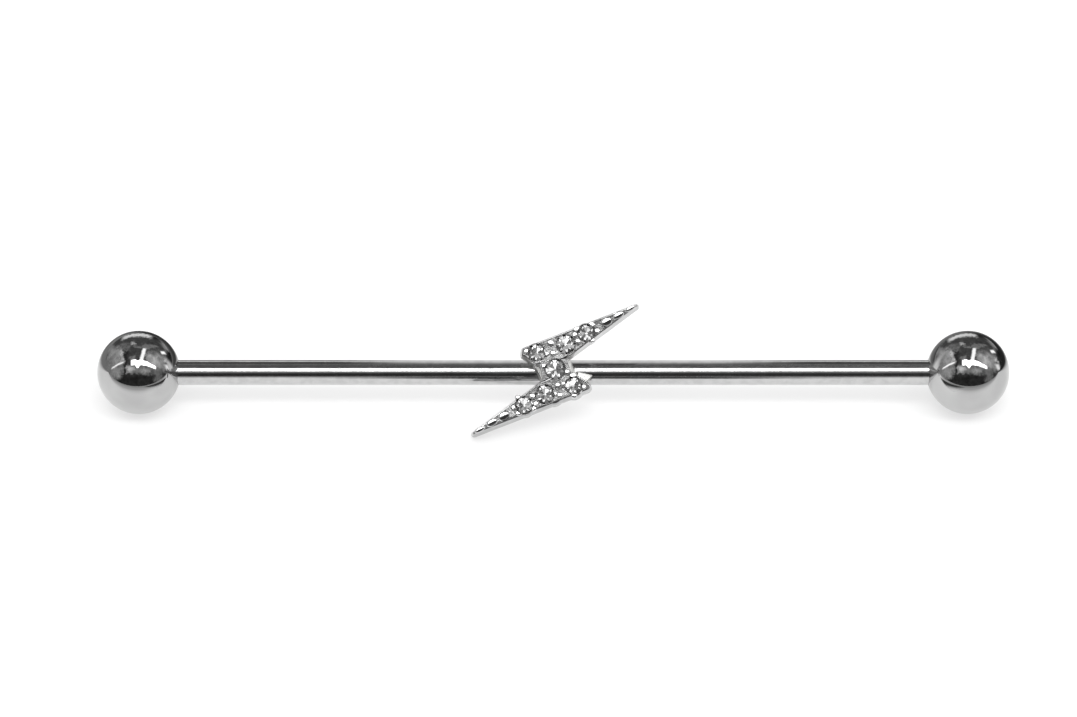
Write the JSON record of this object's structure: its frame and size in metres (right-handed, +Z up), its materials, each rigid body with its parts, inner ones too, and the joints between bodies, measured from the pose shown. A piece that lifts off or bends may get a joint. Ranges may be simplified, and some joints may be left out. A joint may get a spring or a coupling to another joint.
{
  "type": "industrial barbell",
  "caption": "Straight ear bar with a screw-on ball at each end and a stone-set lightning bolt soldered on its middle, worn through two piercings.",
  "frame": {"origin": "on the ground, under the middle of the barbell's box as it rests on both balls and the bolt's lower point", "axes": "+X along the bar to the right as seen from the bolt's face, +Z up, and the bolt's face looks towards -Y and up"},
  "size_m": [0.0438, 0.0052, 0.0053],
  "materials": {
    "polished_steel": "mirror polished",
    "clear_stone": "clear, facet cut"
  },
  "bodies": {
    "bar": {"bar_and_bolt": "polished_steel", "stone_1": "clear_stone", "stone_2": "clear_stone", "stone_3": "clear_stone", "stone_4": "clear_stone", "stone_5": "clear_stone", "stone_6": "clear_stone", "stone_7": "clear_stone"},
    "left_ball": {"ball_left": "polished_steel"},
    "right_ball": {"ball_right": "polished_steel"}
  },
  "joints": [
    {"name": "left_ball_off", "type": "slide", "parent": "bar", "child": "left_ball", "axis": [-1, 0, 0], "range_m": [0, 0.006]},
    {"name": "right_ball_off", "type": "slide", "parent": "bar", "child": "right_ball", "axis": [1, 0, 0], "range_m": [0, 0.006]}
  ]
}
